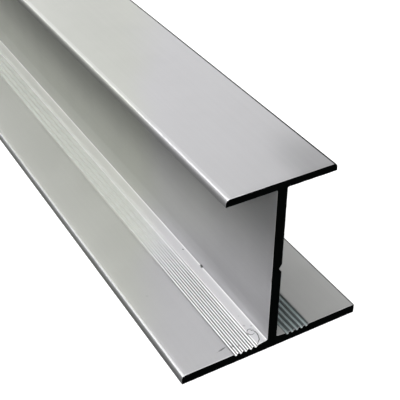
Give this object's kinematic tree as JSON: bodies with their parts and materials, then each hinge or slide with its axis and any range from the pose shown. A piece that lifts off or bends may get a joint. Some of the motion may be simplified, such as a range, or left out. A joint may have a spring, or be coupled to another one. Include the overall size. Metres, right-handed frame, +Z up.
{
  "type": "extruded aluminium h-beam",
  "caption": "Straight H-section bar with a wide serrated base flange, a narrower top flange and a web with a V guide line on one face, sawn square at both ends.",
  "frame": {"origin": "on the underside of the base flange, midway along the bar and midway across the section, in line with the web", "axes": "+Y along the bar, +Z up from the base flange to the top flange, +X across the section towards the web face that carries the V guide line"},
  "size_m": [0.06, 0.5, 0.059],
  "materials": {
    "satin_aluminium": "satin mill finish with fine lines along the bar and dark sawn ends"
  },
  "bodies": {
    "root": {"h_section_bar": "satin_aluminium"}
  },
  "joints": []
}
